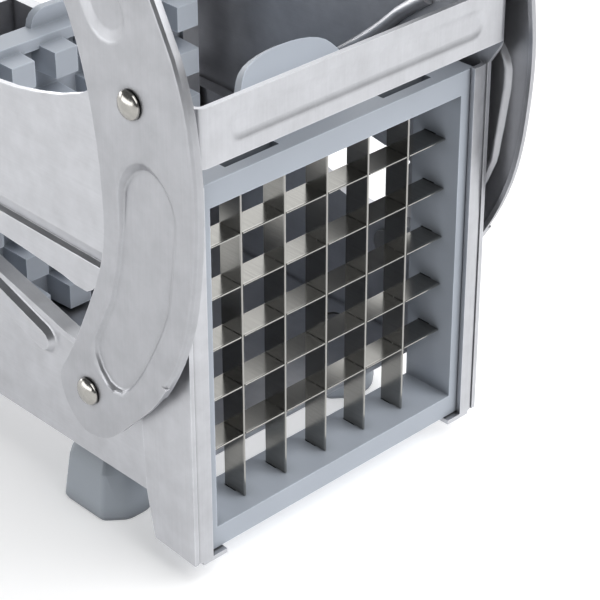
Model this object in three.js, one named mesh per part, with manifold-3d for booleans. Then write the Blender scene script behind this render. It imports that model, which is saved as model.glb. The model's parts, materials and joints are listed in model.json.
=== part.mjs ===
// French fry cutter with a lever: a standalone three.js model, in millimetres, +Z up.
// The blades face -Y, the handle leans back towards +Y, and the feet stand on Z = 0.
import * as THREE from 'three';
import { mergeVertices } from 'three/addons/utils/BufferGeometryUtils.js';
import Module from 'manifold-3d';

const wasm = await Module();
wasm.setup();

// Blade grid
const cellPitch = 13;
const cellCount = 6;
const bladeThickness = 0.5;
const bladeDepth = 6.8;
const bladeFit = 0.15;
const bladeTab = 1.5;
const gridHeight = 56;

// Blade cartridge
const openingHalf = 38.6;
const openingDrop = 43.4;
const frameHalf = 43.4;
const frameRise = 44.6;
const frameDrop = 49.1;
const frameFront = -4.2;
const frameDepth = 14.6;
const frameCorner = 1.2;
const thumbWidth = 32;
const thumbRise = 13.5;
const thumbThickness = 2.6;
const thumbLean = THREE.MathUtils.degToRad(30);
const recessLength = 15.6;
const recessWidth = 3;
const recessDepth = 4;
const recessCentre = 23.7;

// Sheet metal
const sheet = 1.2;
const gap = 0.3;
const slideGap = 0.5;
const cutOver = 1;
const tinyLap = 0.1;
const embossDepth = 0.6;
const pressSlope = 0.6;

// Tray
const trayHalf = 45;
const trayDrop = 38.35;
const trayFront = 11.5;
const trayBack = 174;
const wallFront = 0.4;
const rimFlange = 2.7;
const rimThickness = 1.6;
const wallRib = 0.9;
const wallRibFoot = 0.4;
const wallRibSlope = 1;
const wallRibHeight = 7;
const wallRibStart = 46.7;
const wallRibEnd = 160;
const rimLowDrop = 5.8;
const rimHighRise = 6.5;
const rimRiseStart = 34;
const rimRiseEnd = 84;
const rimRadius = 30;

// Front frame
const postHalf = 46.8;
const postFront = -5.7;
const postFlange = 5.5;
const postTop = 45;
const postDrop = 49.7;
const strapFront = -10.4;
const strapLow = 52.3;
const strapHigh = 65.9;
const strapTopBack = -0.8;
const bendRadius = 2.6;
const strapGrooveLength = 70;
const strapGrooveHeight = 5.6;
const lugInner = 37;
const lugDepth = 9;

// Lever
const pivotBack = 22.75;
const pivotDrop = 13.1;
const leverSpan = 79.6;
const leverLean = THREE.MathUtils.degToRad(13.7);
const armInner = 50.8;
const armFlange = 1.1;
const gripShares = [0.894, 1.967];
const armBendRadius = 1.6;
const armEndRadius = 12;
const gripRadius = 10;
const gripWaist = 8.6;
const rodRadius = 4;
const rodFit = 0.3;
const nutRadius = 6.5;
const nutLength = 5;

// Links
const linkInner = 48.2;
const linkLength = 123.5;
const axleRise = 44;
const linkFrontRadius = 11.5;
const linkRearRadius = 13.5;
const linkGrooveHeight = 4;

// Rivets
const rivetShank = 2.4;
const rivetFit = 0.3;
const rivetHead = 3.4;
const rivetDome = 1.7;
const rivetShoulder = 3.1;
const rivetInnerHead = 4;
const rivetInnerHeight = 0.7;
const frameRivetBack = 8;
const frameRivetDrop = 9;
const headShare = 0.7;

// Pusher and carriage
const pegFace = 83.2;
const pegLength = 9.1;
const pegWidth = 6.8;
const pegBase = 7.4;
const plateDepth = 7.7;
const plateHalf = 40.8;
const plateTop = 36.4;
const plateFoot = 0.6;
const lipReach = 3.2;
const lipHeight = 3;
const lipBack = 3.6;
const plateTabHalf = 7.8;
const plateTabRise = 4.5;
const plateTabThickness = 2.2;
const carriageHalf = 42.6;
const carriageTail = 36;
const carriageEar = 9;
const carriageLow = 9;
const channelLip = 3.4;
const axleRadius = 3;
const axleFit = 0.3;
const runnerHeight = 7;
const runnerThickness = 0.9;

// Feet
const footHalfLength = 11.2;
const footHalfWidth = 8.5;
const footSideHalf = 7;
const footTaper = 1.4;
const footShoulder = 4.6;
const footShoulderDrop = 5;
const footCorner = 2;
const footBow = 5;
const frontFootBack = 35.5;
const footInset = 37.5;
const rearFootInset = 24;
const footScrewRadius = 1.8;
const footScrewHead = 3.6;
const footScrewHeight = 1.6;
const footBoreDepth = 11;
const footSocket = 5.5;
const footSocketDepth = 6;

// Facets round a turned piece
const fineFacets = 28;
const plainFacets = 20;
const smallFacets = 16;

const leftRight = { left: -1, right: 1 };

const colours = {
  steel: { color: 0xc9cacc, roughness: 0.34, metalness: 0.9 },
  blade: { color: 0x9c9a90, roughness: 0.22, metalness: 1 },
  bright: { color: 0xdfe1e4, roughness: 0.18, metalness: 1 },
  plastic: { color: 0xaab4c1, roughness: 0.55, metalness: 0 },
  foot: { color: 0x8d98a4, roughness: 0.7, metalness: 0 },
  grip: { color: 0x8a95a2, roughness: 0.62, metalness: 0 },
};

// Solids and meshes
function toSolid(geometry) {
  const bare = geometry.index ? geometry.clone() : mergeVertices(stripped(geometry));
  const joined = mergeVertices(stripped(bare));
  return new wasm.Manifold(new wasm.Mesh({
    numProp: 3,
    vertProperties: joined.attributes.position.array,
    triVerts: Uint32Array.from(joined.index.array),
  }));
}

function stripped(geometry) {
  const copy = geometry.clone();
  copy.deleteAttribute('normal');
  copy.deleteAttribute('uv');
  return copy;
}

function toMesh(name, solid, look) {
  const { vertProperties, triVerts } = solid.getMesh();
  const geometry = new THREE.BufferGeometry();
  geometry.setAttribute('position', new THREE.BufferAttribute(new Float32Array(vertProperties), 3));
  geometry.setIndex(new THREE.BufferAttribute(new Uint32Array(triVerts), 1));
  geometry.computeVertexNormals();
  const mesh = new THREE.Mesh(geometry, new THREE.MeshStandardMaterial(colours[look]));
  mesh.name = name;
  return mesh;
}

function joinAll(solids) {
  return solids.reduce((total, solid) => total.add(solid));
}

function cutAll(solid, cutters) {
  return cutters.reduce((total, cutter) => total.subtract(cutter), solid);
}

// Extrusions along each axis, of shapes drawn in the other two
function extrudeAlong(shape, from, to, toWorld, shift) {
  const geometry = new THREE.ExtrudeGeometry(shape, { depth: to - from, bevelEnabled: false });
  return toSolid(geometry.applyMatrix4(toWorld).translate(shift.x, shift.y, shift.z));
}

const xAxis = new THREE.Vector3(1, 0, 0);
const yAxis = new THREE.Vector3(0, 1, 0);
const zAxis = new THREE.Vector3(0, 0, 1);

function extrudeX(shape, from, to) {
  const turn = new THREE.Matrix4().makeBasis(yAxis, zAxis, xAxis);
  return extrudeAlong(shape, from, to, turn, new THREE.Vector3(from, 0, 0));
}

function extrudeY(shape, from, to) {
  const turn = new THREE.Matrix4().makeBasis(xAxis, zAxis, yAxis.clone().negate());
  return extrudeAlong(shape, from, to, turn, new THREE.Vector3(0, to, 0));
}

function extrudeZ(shape, from, to) {
  return extrudeAlong(shape, from, to, new THREE.Matrix4(), new THREE.Vector3(0, 0, from));
}

function block([x0, x1], [y0, y1], [z0, z1]) {
  const box = new THREE.BoxGeometry(x1 - x0, y1 - y0, z1 - z0);
  return toSolid(box.translate((x0 + x1) / 2, (y0 + y1) / 2, (z0 + z1) / 2));
}

// A revolved solid, its profile of [radius, height] ordered so that its faces point outwards
function revolved(profile, segments) {
  const points = profile.map(([radius, height]) => new THREE.Vector2(radius, height));
  if (THREE.ShapeUtils.isClockWise(points)) points.reverse();
  return new THREE.LatheGeometry(points, segments);
}

// A revolved solid whose profile runs along X, from pairs of [radius, x]
function turnedX(profile, y, z, segments = plainFacets) {
  const lathe = revolved(profile, segments);
  lathe.applyMatrix4(new THREE.Matrix4().makeBasis(yAxis, xAxis, zAxis.clone().negate()));
  return toSolid(lathe.translate(0, y, z));
}

function rodX(radius, y, z, from, to, segments = plainFacets) {
  return turnedX([[0, from], [radius, from], [radius, to], [0, to]], y, z, segments);
}

// Outlines
function polygon(points) {
  return new THREE.Shape(points.map(([x, y]) => new THREE.Vector2(x, y)));
}

// A polygon whose corners are [x, y, radius], each rounded by an arc
function rounded(corners, steps = 5) {
  const points = [];
  corners.forEach(([x, y, radius = 0], i) => {
    const here = new THREE.Vector2(x, y);
    if (radius === 0) {
      points.push(here);
      return;
    }
    const before = corners[(i + corners.length - 1) % corners.length];
    const after = corners[(i + 1) % corners.length];
    const back = new THREE.Vector2(before[0] - x, before[1] - y).normalize();
    const ahead = new THREE.Vector2(after[0] - x, after[1] - y).normalize();
    const half = Math.acos(THREE.MathUtils.clamp(back.dot(ahead), -1, 1)) / 2;
    const reach = radius / Math.tan(half);
    const centre = back.clone().add(ahead).normalize().multiplyScalar(radius / Math.sin(half)).add(here);
    const start = here.clone().addScaledVector(back, reach).sub(centre);
    const end = here.clone().addScaledVector(ahead, reach).sub(centre);
    const turn = Math.atan2(start.cross(end), start.dot(end));
    for (let step = 0; step <= steps; step += 1) {
      points.push(start.clone().rotateAround(new THREE.Vector2(), (turn * step) / steps).add(centre));
    }
  });
  return new THREE.Shape(points);
}

function roundedBox([x0, x1], [y0, y1], radius, steps = 4) {
  return rounded([[x0, y0, radius], [x1, y0, radius], [x1, y1, radius], [x0, y1, radius]], steps);
}

// A slot with round ends from one centre to another
function slotPoints(a, b, radius, steps = 8) {
  const along = Math.atan2(b[1] - a[1], b[0] - a[0]);
  const points = [];
  [[b, along - Math.PI / 2], [a, along + Math.PI / 2]].forEach(([[x, y], start]) => {
    for (let step = 0; step <= steps; step += 1) {
      const angle = start + (Math.PI * step) / steps;
      points.push([x + radius * Math.cos(angle), y + radius * Math.sin(angle)]);
    }
  });
  return points;
}

function slotShape(a, b, radius, steps) {
  return polygon(slotPoints(a, b, radius, steps));
}

// A closed outline in Y and Z carried along X through stations of [x, growth], in either order of
// x: a pressed panel with sloping sides
function pressed(points, stations) {
  const outline = points.map(([y, z]) => new THREE.Vector2(y, z));
  if (THREE.ShapeUtils.isClockWise(outline)) outline.reverse();
  const sorted = [...stations].sort((a, b) => a[0] - b[0]);
  const count = outline.length;
  const places = [];
  for (const [x, growth] of sorted) {
    outline.forEach((point, i) => {
      const along = outline[(i + 1) % count].clone().sub(outline[(i + count - 1) % count]).normalize();
      places.push(x, point.x + along.y * growth, point.y - along.x * growth);
    });
  }
  const faces = [];
  for (let ring = 1; ring < sorted.length; ring += 1) {
    for (let i = 0; i < count; i += 1) {
      const here = (ring - 1) * count + i;
      const next = (ring - 1) * count + ((i + 1) % count);
      faces.push(here, next, next + count, here, next + count, here + count);
    }
  }
  const last = (sorted.length - 1) * count;
  for (const [a, b, c] of THREE.ShapeUtils.triangulateShape(outline, [])) {
    faces.push(a, c, b, last + a, last + b, last + c);
  }
  const geometry = new THREE.BufferGeometry();
  geometry.setAttribute('position', new THREE.Float32BufferAttribute(places, 3));
  geometry.setIndex(faces);
  return geometry;
}

// The cut that a press leaves in a sheet's outer face, and the swelling on its inner face
function pressedCut(points, outer, sign) {
  return toSolid(pressed(points, [
    [outer - sign * embossDepth, -pressSlope], [outer, pressSlope], [outer + sign * cutOver, pressSlope],
  ]));
}

function pressedSwelling(points, inner, sign) {
  return toSolid(pressed(points, [
    [inner + sign * gap, pressSlope], [inner, pressSlope], [inner - sign * embossDepth, -pressSlope],
  ]));
}

function smoothPoints(points, count, closed = false) {
  const curve = new THREE.CatmullRomCurve3(points.map(([x, y]) => new THREE.Vector3(x, y, 0)), closed);
  const drawn = curve.getPoints(count).map((point) => [point.x, point.y]);
  if (closed) drawn.pop();
  return drawn;
}

function circlePoints(x, y, radius, count = plainFacets) {
  return Array.from({ length: count }, (_, i) => {
    const angle = (2 * Math.PI * i) / count;
    return [x + radius * Math.cos(angle), y + radius * Math.sin(angle)];
  });
}

// Points on an arc between two angles that are shares of a half turn
function arcPoints([x, y], radius, [fromShare, toShare], steps) {
  return Array.from({ length: steps + 1 }, (_, i) => {
    const angle = Math.PI * THREE.MathUtils.lerp(fromShare, toShare, i / steps);
    return [x + radius * Math.cos(angle), y + radius * Math.sin(angle)];
  });
}

function pierce(face, [x, y], radius) {
  const ring = circlePoints(x, y, radius).map(([u, v]) => new THREE.Vector2(u, v));
  face.holes.push(new THREE.Path(ring));
}

// Places worked out from the sizes
const gridEdge = (cellCount / 2 - 1) * cellPitch;
const gridLines = Array.from({ length: cellCount - 1 }, (_, i) => i * cellPitch - gridEdge);
const middleCell = (cellCount - 1) / 2;
const cellCentres = Array.from({ length: cellCount }, (_, i) => (i - middleCell) * cellPitch);
const frameBack = frameFront + frameDepth;
const trayFloor = gridHeight - trayDrop;
const rimLowHeight = gridHeight - rimLowDrop;
const rimHighHeight = gridHeight + rimHighRise;
const pivotHeight = gridHeight - pivotDrop;
const axleHeight = gridHeight + axleRise;
const pivotA = [pivotBack, pivotHeight];
const pivotB = [
  pivotBack - leverSpan * Math.sin(leverLean),
  pivotHeight + leverSpan * Math.cos(leverLean),
];
const linkDrop = pivotB[1] - axleHeight;
const axleBack = pivotB[0] + Math.sqrt(linkLength ** 2 - linkDrop ** 2);
const pivotC = [axleBack, axleHeight];
const plateFront = pegFace + pegLength;
const plateBack = plateFront + plateDepth;
const trayInner = trayHalf - sheet;
const trayTopOfFloor = trayFloor + sheet;
const postInner = postHalf - sheet;

// Lever places are shares of the span between its two pivots: [across, along]
function leverPoint([across, along]) {
  const side = across * leverSpan;
  const length = along * leverSpan;
  return [
    pivotA[0] + side * Math.cos(leverLean) - length * Math.sin(leverLean),
    pivotA[1] + side * Math.sin(leverLean) + length * Math.cos(leverLean),
  ];
}
const gripCentre = leverPoint(gripShares);

// Blade cartridge
function bladeShape(low, high, slotFront) {
  const middle = bladeDepth / 2;
  const half = bladeThickness / 2 + bladeFit;
  const slotEdge = slotFront ? 0 : bladeDepth;
  const slotFloor = slotFront ? middle + bladeFit : middle - bladeFit;
  const notches = gridLines.flatMap((line) => [
    [line - half, slotEdge], [line - half, slotFloor], [line + half, slotFloor], [line + half, slotEdge],
  ]);
  const frontRun = slotFront ? notches : [];
  const backRun = slotFront ? [] : notches.reverse();
  return [
    [low, 0], ...frontRun, [high, 0],
    [high, middle], [high + bladeTab, middle], [high + bladeTab, bladeDepth],
    ...backRun,
    [low - bladeTab, bladeDepth], [low - bladeTab, middle], [low, middle],
  ];
}

const bladeLow = -openingDrop + bladeFit;
const bladeHigh = openingHalf - bladeFit;
const bladeSide = openingHalf - bladeFit;

function uprightBlade(x) {
  const points = bladeShape(bladeLow, bladeHigh, false).map(([z, y]) => [y, z + gridHeight]);
  return extrudeX(polygon(points), x - bladeThickness / 2, x + bladeThickness / 2);
}

function levelBlade(z) {
  const shape = polygon(bladeShape(-bladeSide, bladeSide, true));
  const height = z + gridHeight;
  return extrudeZ(shape, height - bladeThickness / 2, height + bladeThickness / 2);
}

const tabEdgeShares = [[1, 0.45], [0.72, 0.84], [0, 1], [-0.72, 0.84], [-1, 0.45]];

function thumbTab() {
  const half = thumbWidth / 2;
  const outline = [
    [-half, -thumbThickness], [half, -thumbThickness],
    ...smoothPoints(tabEdgeShares.map(([u, v]) => [u * half, v * thumbRise]), 18),
  ];
  const flat = new THREE.ExtrudeGeometry(polygon(outline), { depth: thumbThickness, bevelEnabled: false });
  flat.applyMatrix4(new THREE.Matrix4().makeBasis(xAxis, zAxis, yAxis.clone().negate()));
  flat.rotateX(-thumbLean);
  flat.translate(0, frameBack - gap, gridHeight + frameRise);
  return toSolid(flat);
}

function bladeFrame() {
  const low = gridHeight - frameDrop;
  const high = gridHeight + frameRise;
  const body = extrudeY(roundedBox([-frameHalf, frameHalf], [low, high], frameCorner), frameFront, frameBack);
  const opening = block([-openingHalf, openingHalf], [frameFront - cutOver, frameBack + cutOver],
    [gridHeight - openingDrop, gridHeight + openingHalf]);
  const pocketHalf = bladeThickness / 2 + bladeFit;
  const pocketReach = bladeTab + bladeFit;
  const pocketRun = [bladeDepth / 2 - bladeFit, bladeDepth + bladeFit];
  const levelPockets = gridLines.map((z) => block(
    [-openingHalf - pocketReach, openingHalf + pocketReach], pocketRun,
    [gridHeight + z - pocketHalf, gridHeight + z + pocketHalf],
  ));
  const uprightPockets = gridLines.map((x) => block(
    [x - pocketHalf, x + pocketHalf], pocketRun,
    [gridHeight - openingDrop - pocketReach, gridHeight + openingHalf + pocketReach],
  ));
  const recesses = [-recessCentre, recessCentre].map((x) => block(
    [x - recessLength / 2, x + recessLength / 2],
    [frameFront + recessWidth, frameFront + 2 * recessWidth], [high - recessDepth, high + cutOver],
  ));
  return cutAll(body.add(thumbTab()), [opening, ...levelPockets, ...uprightPockets, ...recesses]);
}

// Tray: floor, back and two flanged side walls whose rim climbs towards the back
const rimCorners = [
  [wallFront, rimLowHeight], [rimRiseStart, rimLowHeight, rimRadius],
  [rimRiseEnd, rimHighHeight, rimRadius], [trayBack, rimHighHeight],
];

function rimLine(drop) {
  const lowered = rimCorners.map(([y, z, radius]) => [y, z - drop, radius]);
  const shape = rounded([...lowered, [trayBack, trayFloor], [wallFront, trayFloor]]);
  return shape.getPoints().map((point) => [point.x, point.y]);
}

function bodyTray() {
  const side = polygon(rimLine(0));
  const outer = extrudeX(side, -trayHalf, trayHalf);
  const hollow = block([-trayInner, trayInner], [wallFront - cutOver, trayBack - sheet],
    [trayTopOfFloor, rimHighHeight + cutOver]);
  const nose = block([-trayInner, trayInner], [wallFront - cutOver, trayFront],
    [trayFloor - cutOver, trayTopOfFloor + cutOver]);
  let tray = cutAll(outer, [hollow, nose]);
  const band = extrudeX(side, -trayHalf - rimFlange, trayHalf + rimFlange)
    .subtract(extrudeX(polygon(rimLine(rimThickness)), -trayHalf * 2, trayHalf * 2));
  const bandRoom = block([-trayInner, trayInner], [wallFront - cutOver, trayBack - sheet],
    [trayFloor, rimHighHeight + cutOver]);
  const bandFront = block([-trayHalf * 2, trayHalf * 2], [wallFront - cutOver, frameBack + 2 * sheet],
    [trayFloor, rimHighHeight + cutOver]);
  tray = tray.add(cutAll(band, [bandRoom, bandFront]));
  const ribLow = rimLowHeight - wallRibHeight;
  const ribHigh = rimHighHeight - wallRibHeight;
  const ribRise = [[wallRibStart, ribLow], [rimRiseEnd, ribHigh]];
  const ribRuns = [ribRise, [[rimRiseEnd, ribHigh], [wallRibEnd, ribHigh]]];
  for (const sign of Object.values(leftRight)) {
    const ribs = ribRuns.map(([from, to]) => toSolid(pressed(slotPoints(from, to, wallRibHeight / 2), [
      [sign * (trayHalf - tinyLap), wallRibFoot], [sign * trayHalf, wallRibFoot],
      [sign * (trayHalf + wallRib), -wallRibSlope],
    ])));
    tray = joinAll([tray, ...ribs]);
    const ends = [sign * (trayInner - cutOver), sign * (trayHalf + cutOver)];
    tray = tray.subtract(rodX(rivetShank + rivetFit, ...pivotA, ...ends));
  }
  return cutAll(tray, [...footCentres.map(([x, y]) => footHole(x, y)), ...frameRivetHoles()]);
}

function footHole(x, y) {
  const radius = footScrewRadius + rivetFit;
  return turnedZ([[0, trayFloor - cutOver], [radius, trayFloor - cutOver],
    [radius, trayTopOfFloor + cutOver], [0, trayTopOfFloor + cutOver]], x, y);
}

function turnedZ(profile, x, y, segments = smallFacets) {
  const lathe = revolved(profile, segments);
  lathe.applyMatrix4(new THREE.Matrix4().makeBasis(xAxis, zAxis, yAxis.clone().negate()));
  return toSolid(lathe.translate(x, y, 0));
}

const rearFootBack = trayBack - rearFootInset;
const footCentres = [
  [-footInset, frontFootBack], [footInset, frontFootBack],
  [-footInset, rearFootBack], [footInset, rearFootBack],
];

// Front frame: one bent sheet, with the strap set forward of the posts
const wingShares = [
  [0.86, -1.3], [0.88, 0.1], [1.2, 0.75], [2.1, 1.15], [3.0, 1.5],
];
const postFootShares = [[0.62, -3.75], [0.69, -3.4], [0.8, -2.8]];
const wingTopShares = [[3.35, 2.47], [3.09, 2.7], [2.7, 2.99], [2.07, 3.53], [1.46, 4.07], [0.74, 4.29]];

function frameProfile() {
  const atGrid = ([y, z]) => [y * cellPitch, gridHeight + z * cellPitch];
  return [
    [postFront, gridHeight - postDrop],
    ...postFootShares.map(atGrid),
    ...smoothPoints(wingShares.map(atGrid), 14),
    ...smoothPoints(wingTopShares.map(atGrid), 10),
    [strapTopBack, gridHeight + strapHigh],
    [strapFront, gridHeight + strapHigh],
    [strapFront, gridHeight + strapLow],
    [postFront, gridHeight + postTop],
  ];
}

function bentSheet(front, low, high) {
  const back = 4 * cellPitch;
  const outer = rounded([[-postHalf, front, bendRadius], [postHalf, front, bendRadius],
    [postHalf, back], [-postHalf, back]]);
  const inner = rounded([[-postInner, front + sheet, bendRadius - sheet],
    [postInner, front + sheet, bendRadius - sheet], [postInner, back + cutOver],
    [-postInner, back + cutOver]]);
  return extrudeZ(outer, low, high).subtract(extrudeZ(inner, low - cutOver, high + cutOver));
}

function frontFrame() {
  const low = gridHeight - postDrop;
  const high = gridHeight + strapHigh;
  const profile = extrudeX(polygon(frameProfile()), -postHalf - cutOver, postHalf + cutOver);
  const windowHalf = postHalf - postFlange;
  const posts = bentSheet(postFront, low, gridHeight + postTop).subtract(block([-windowHalf, windowHalf],
    [postFront - cutOver, postFront + 2 * sheet], [low - cutOver, high]));
  const sides = bentSheet(strapFront, low, high).intersect(profile)
    .subtract(block([-postInner, postInner], [strapFront - cutOver, 4 * cellPitch], [low - cutOver,
      gridHeight + strapLow]));
  const grooveHeight = gridHeight + (strapLow + strapHigh) / 2;
  const groovePoints = slotPoints([-strapGrooveLength / 2, grooveHeight],
    [strapGrooveLength / 2, grooveHeight], strapGrooveHeight / 2);
  // The press works along X, so its shapes are turned to face the front
  const turned = { cut: pressedCut(groovePoints, -strapFront, 1),
    swelling: pressedSwelling(groovePoints, -strapFront - sheet, 1) };
  const groove = turned.cut.rotate([0, 0, -90]);
  const swelling = turned.swelling.rotate([0, 0, -90]);
  const lugs = Object.values(leftRight).map((sign) => {
    const span = [sign * lugInner, sign * (postHalf - bendRadius)].sort((a, b) => a - b);
    return block(span, [postFront, postFront + lugDepth], [low + gap - sheet, low + gap]);
  });
  const shell = joinAll([posts.intersect(profile), sides, swelling, ...lugs]);
  return cutAll(shell, [groove, ...frameRivetHoles()]);
}

// Rivets that hold the front frame to the tray walls
const frameRivetHeight = gridHeight - frameRivetDrop;

function frameRivetHoles() {
  const end = postHalf + cutOver;
  return [rodX(rivetShank / 2 + rivetFit, frameRivetBack, frameRivetHeight, -end, end, smallFacets)];
}

function frameRivet(sign) {
  const shank = rivetShank / 2;
  const head = rivetShank;
  return turnedX([
    [0, sign * trayInner], [shank, sign * trayInner], [shank, sign * (postHalf + gap)],
    [head, sign * (postHalf + gap)], [head * headShare, sign * (postHalf + gap + rivetFit)],
    [0, sign * (postHalf + gap + 2 * rivetFit)],
  ], frameRivetBack, frameRivetHeight, smallFacets);
}

// Domed head: radius falls from the rim to the axis as it rises
function dome(radius, start, height, sign, steps = 4) {
  return Array.from({ length: steps + 1 }, (_, i) => {
    const angle = (Math.PI / 2) * (i / steps);
    return [radius * Math.cos(angle), sign * (start + height * Math.sin(angle))];
  });
}

function leverRivet(sign) {
  const armOuter = armInner + sheet;
  const inmost = trayInner - gap - rivetInnerHeight;
  return turnedX([
    [0, sign * inmost], [rivetInnerHead, sign * inmost],
    [rivetInnerHead, sign * (trayInner - gap)], [rivetShank, sign * (trayInner - gap)],
    [rivetShank, sign * (trayHalf + gap)], [rivetShoulder, sign * (trayHalf + gap)],
    [rivetShoulder, sign * (armInner - gap)], [rivetShank, sign * (armInner - gap)],
    [rivetShank, sign * (armOuter + gap)], ...dome(rivetHead, armOuter + gap, rivetDome, sign),
  ], ...pivotA);
}

function linkFrontRivet(sign) {
  const armOuter = armInner + sheet;
  const washer = linkInner + sheet + gap;
  const inmost = linkInner - gap - rivetInnerHeight;
  return turnedX([
    [0, sign * inmost], [rivetInnerHead, sign * inmost],
    [rivetInnerHead, sign * (linkInner - gap)], [rivetShank, sign * (linkInner - gap)],
    [rivetShank, sign * washer], [rivetShoulder * 2, sign * washer],
    [rivetShoulder * 2, sign * (armInner - gap)], [rivetShank, sign * (armInner - gap)],
    [rivetShank, sign * (armOuter + gap)], ...dome(rivetHead, armOuter + gap, rivetDome, sign),
  ], ...pivotB);
}

function linkRearRivet(sign) {
  const seat = linkInner + sheet + gap;
  return turnedX([
    [0, sign * (linkInner + gap)], [rivetShank, sign * (linkInner + gap)],
    [rivetShank, sign * seat], ...dome(rivetHead, seat, rivetDome, sign),
  ], ...pivotC);
}

// Lever arms: a stamped outline with a front flange and two pressed panels
const armFrontShares = [
  [-0.153, -0.035], [-0.271, 0.18], [-0.328, 0.439], [-0.312, 0.7], [-0.25, 0.962], [-0.121, 1.213],
];
const armRearShares = [
  [0.29, 1.142], [0.156, 0.93], [0.06, 0.68], [0.024, 0.48], [0.07, 0.185], [0.1, 0.06],
];
const armFootShares = [[0.125, -0.03], [0.08, -0.11], [0, -0.15], [-0.09, -0.115]];
const panelShares = [
  [-0.0264, 0.361], [-0.0223, 0.605], [0.0028, 0.722], [-0.0039, 0.777], [-0.0323, 0.826], [-0.074, 0.855],
  [-0.1255, 0.8505], [-0.1744, 0.822], [-0.2114, 0.774], [-0.2305, 0.654], [-0.2416, 0.526],
  [-0.2456, 0.461], [-0.2146, 0.299], [-0.1689, 0.155], [-0.129, 0.0916], [-0.0663, 0.0797], [0, 0.1375],
  [0.0103, 0.194],
];
const upperPanelShares = { from: [0.138, 1.195], to: [0.76, 1.838], radius: 0.072 };

function gripDirection() {
  const [u0, v0] = [(armFrontShares.at(-1)[0] + armRearShares[0][0]) / 2,
    (armFrontShares.at(-1)[1] + armRearShares[0][1]) / 2];
  return Math.atan2(gripShares[1] - v0, gripShares[0] - u0);
}

function armOutline() {
  const turn = gripDirection();
  const across = armEndRadius / leverSpan;
  const cap = Array.from({ length: 9 }, (_, i) => {
    const angle = turn + Math.PI / 2 - (Math.PI * i) / 8;
    return leverPoint([gripShares[0] + across * Math.cos(angle), gripShares[1] + across * Math.sin(angle)]);
  });
  const front = smoothPoints([...armFrontShares.map(leverPoint), cap[0]], 30);
  const rear = smoothPoints([cap.at(-1), ...armRearShares.map(leverPoint),
    ...armFootShares.map(leverPoint), leverPoint(armFrontShares[0])], 40);
  return { front, points: [...front, ...cap.slice(1, -1), ...rear.slice(0, -1)] };
}

function offsetInside(points, distance) {
  return points.map(([x, y], i) => {
    const before = points[Math.max(i - 1, 0)];
    const after = points[Math.min(i + 1, points.length - 1)];
    const along = new THREE.Vector2(after[0] - before[0], after[1] - before[1]).normalize();
    return [x + along.y * distance, y - along.x * distance];
  });
}

const flangeStartShare = 0.3;
const bendStartShare = 0.36;

// A cutter that rounds the corner between the arm's face and its front edge, drawn as a cross
// section of [inward, deep] points and carried along the edge
function bendCutter(edge, outer, sign) {
  const facets = 3;
  const section = [[-cutOver, -cutOver], [-cutOver, armBendRadius]];
  for (let step = 0; step <= facets; step += 1) {
    const angle = (Math.PI / 2) * (step / facets);
    section.push([armBendRadius * (1 - Math.cos(angle)), armBendRadius * (1 - Math.sin(angle))]);
  }
  section.push([armBendRadius, -cutOver]);
  const count = edge.length - 1;
  const shape = polygon(section.map(([inward, deep]) => [inward, sign * deep]));
  const swept = new THREE.ExtrudeGeometry(shape, { depth: count, steps: count, bevelEnabled: false });
  const spots = swept.attributes.position;
  const inside = offsetInside(edge, 1);
  for (let i = 0; i < spots.count; i += 1) {
    const station = Math.round(spots.getZ(i));
    const inward = spots.getX(i);
    const [y, z] = edge[station].map((value, axis) => value + inward * (inside[station][axis] - value));
    spots.setXYZ(i, outer - spots.getY(i), y, z);
  }
  return toSolid(swept);
}

function leverArm(sign) {
  const { front, points } = armOutline();
  const outer = sign * (armInner + sheet);
  const inner = sign * armInner;
  const span = [outer, inner].sort((a, b) => a - b);
  const face = polygon(points);
  pierce(face, pivotA, rivetShank + rivetFit);
  pierce(face, pivotB, rivetShank + rivetFit);
  pierce(face, gripCentre, rodRadius + rodFit);
  const plate = extrudeX(face, ...span);
  const edge = front.slice(Math.round(front.length * flangeStartShare / 2));
  const flange = polygon([...edge, ...offsetInside(edge, sheet).reverse()]);
  const flangeSpan = [inner - sign * armFlange, inner + sign * sheet / 2].sort((a, b) => a - b);
  const panels = [
    smoothPoints(panelShares.map(leverPoint), 36, true),
    slotPoints(leverPoint(upperPanelShares.from), leverPoint(upperPanelShares.to),
      upperPanelShares.radius * leverSpan),
  ];
  const bend = bendCutter(front.slice(Math.round(front.length * bendStartShare / 2)), outer, sign);
  const swellings = panels.map((points) => pressedSwelling(points, inner, sign));
  const cuts = panels.map((points) => pressedCut(points, outer, sign));
  return cutAll(joinAll([plate, extrudeX(flange, ...flangeSpan), ...swellings]), [...cuts, bend]);
}

// Link plates: a round eye at each end, a dipped top edge and a straight lower edge
const linkTopShares = [[0.12, -0.02], [0.3, -0.085], [0.52, -0.1], [0.75, -0.06]];
const linkLowShares = [
  [0.945, -0.31], [0.91, -0.37], [0.875, -0.435], [0.845, -0.468], [0.8, -0.478], [0.7, -0.478],
  [0.6, -0.478], [0.53, -0.477], [0.502, -0.468], [0.4985, -0.456], [0.5175, -0.4345], [0.536, -0.4115],
  [0.5515, -0.388], [0.5565, -0.366], [0.5445, -0.3465], [0.5225, -0.3415], [0.5045, -0.352],
  [0.486, -0.3775], [0.469, -0.3985], [0.447, -0.4105], [0.42, -0.414], [0.34, -0.419], [0.24, -0.427],
  [0.17, -0.434],
  [0.138, -0.405], [0.084, -0.295], [0.037, -0.158],
];
const linkGrooveShares = [[0.11, -0.33], [0.46, -0.325]];

function linkPoint([back, up]) {
  return [pivotB[0] + back * linkLength, pivotB[1] + up * linkLength];
}

const frontEyeShares = [1.15, 0.4];
const rearEyeShares = [0.5, -0.55];

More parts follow.
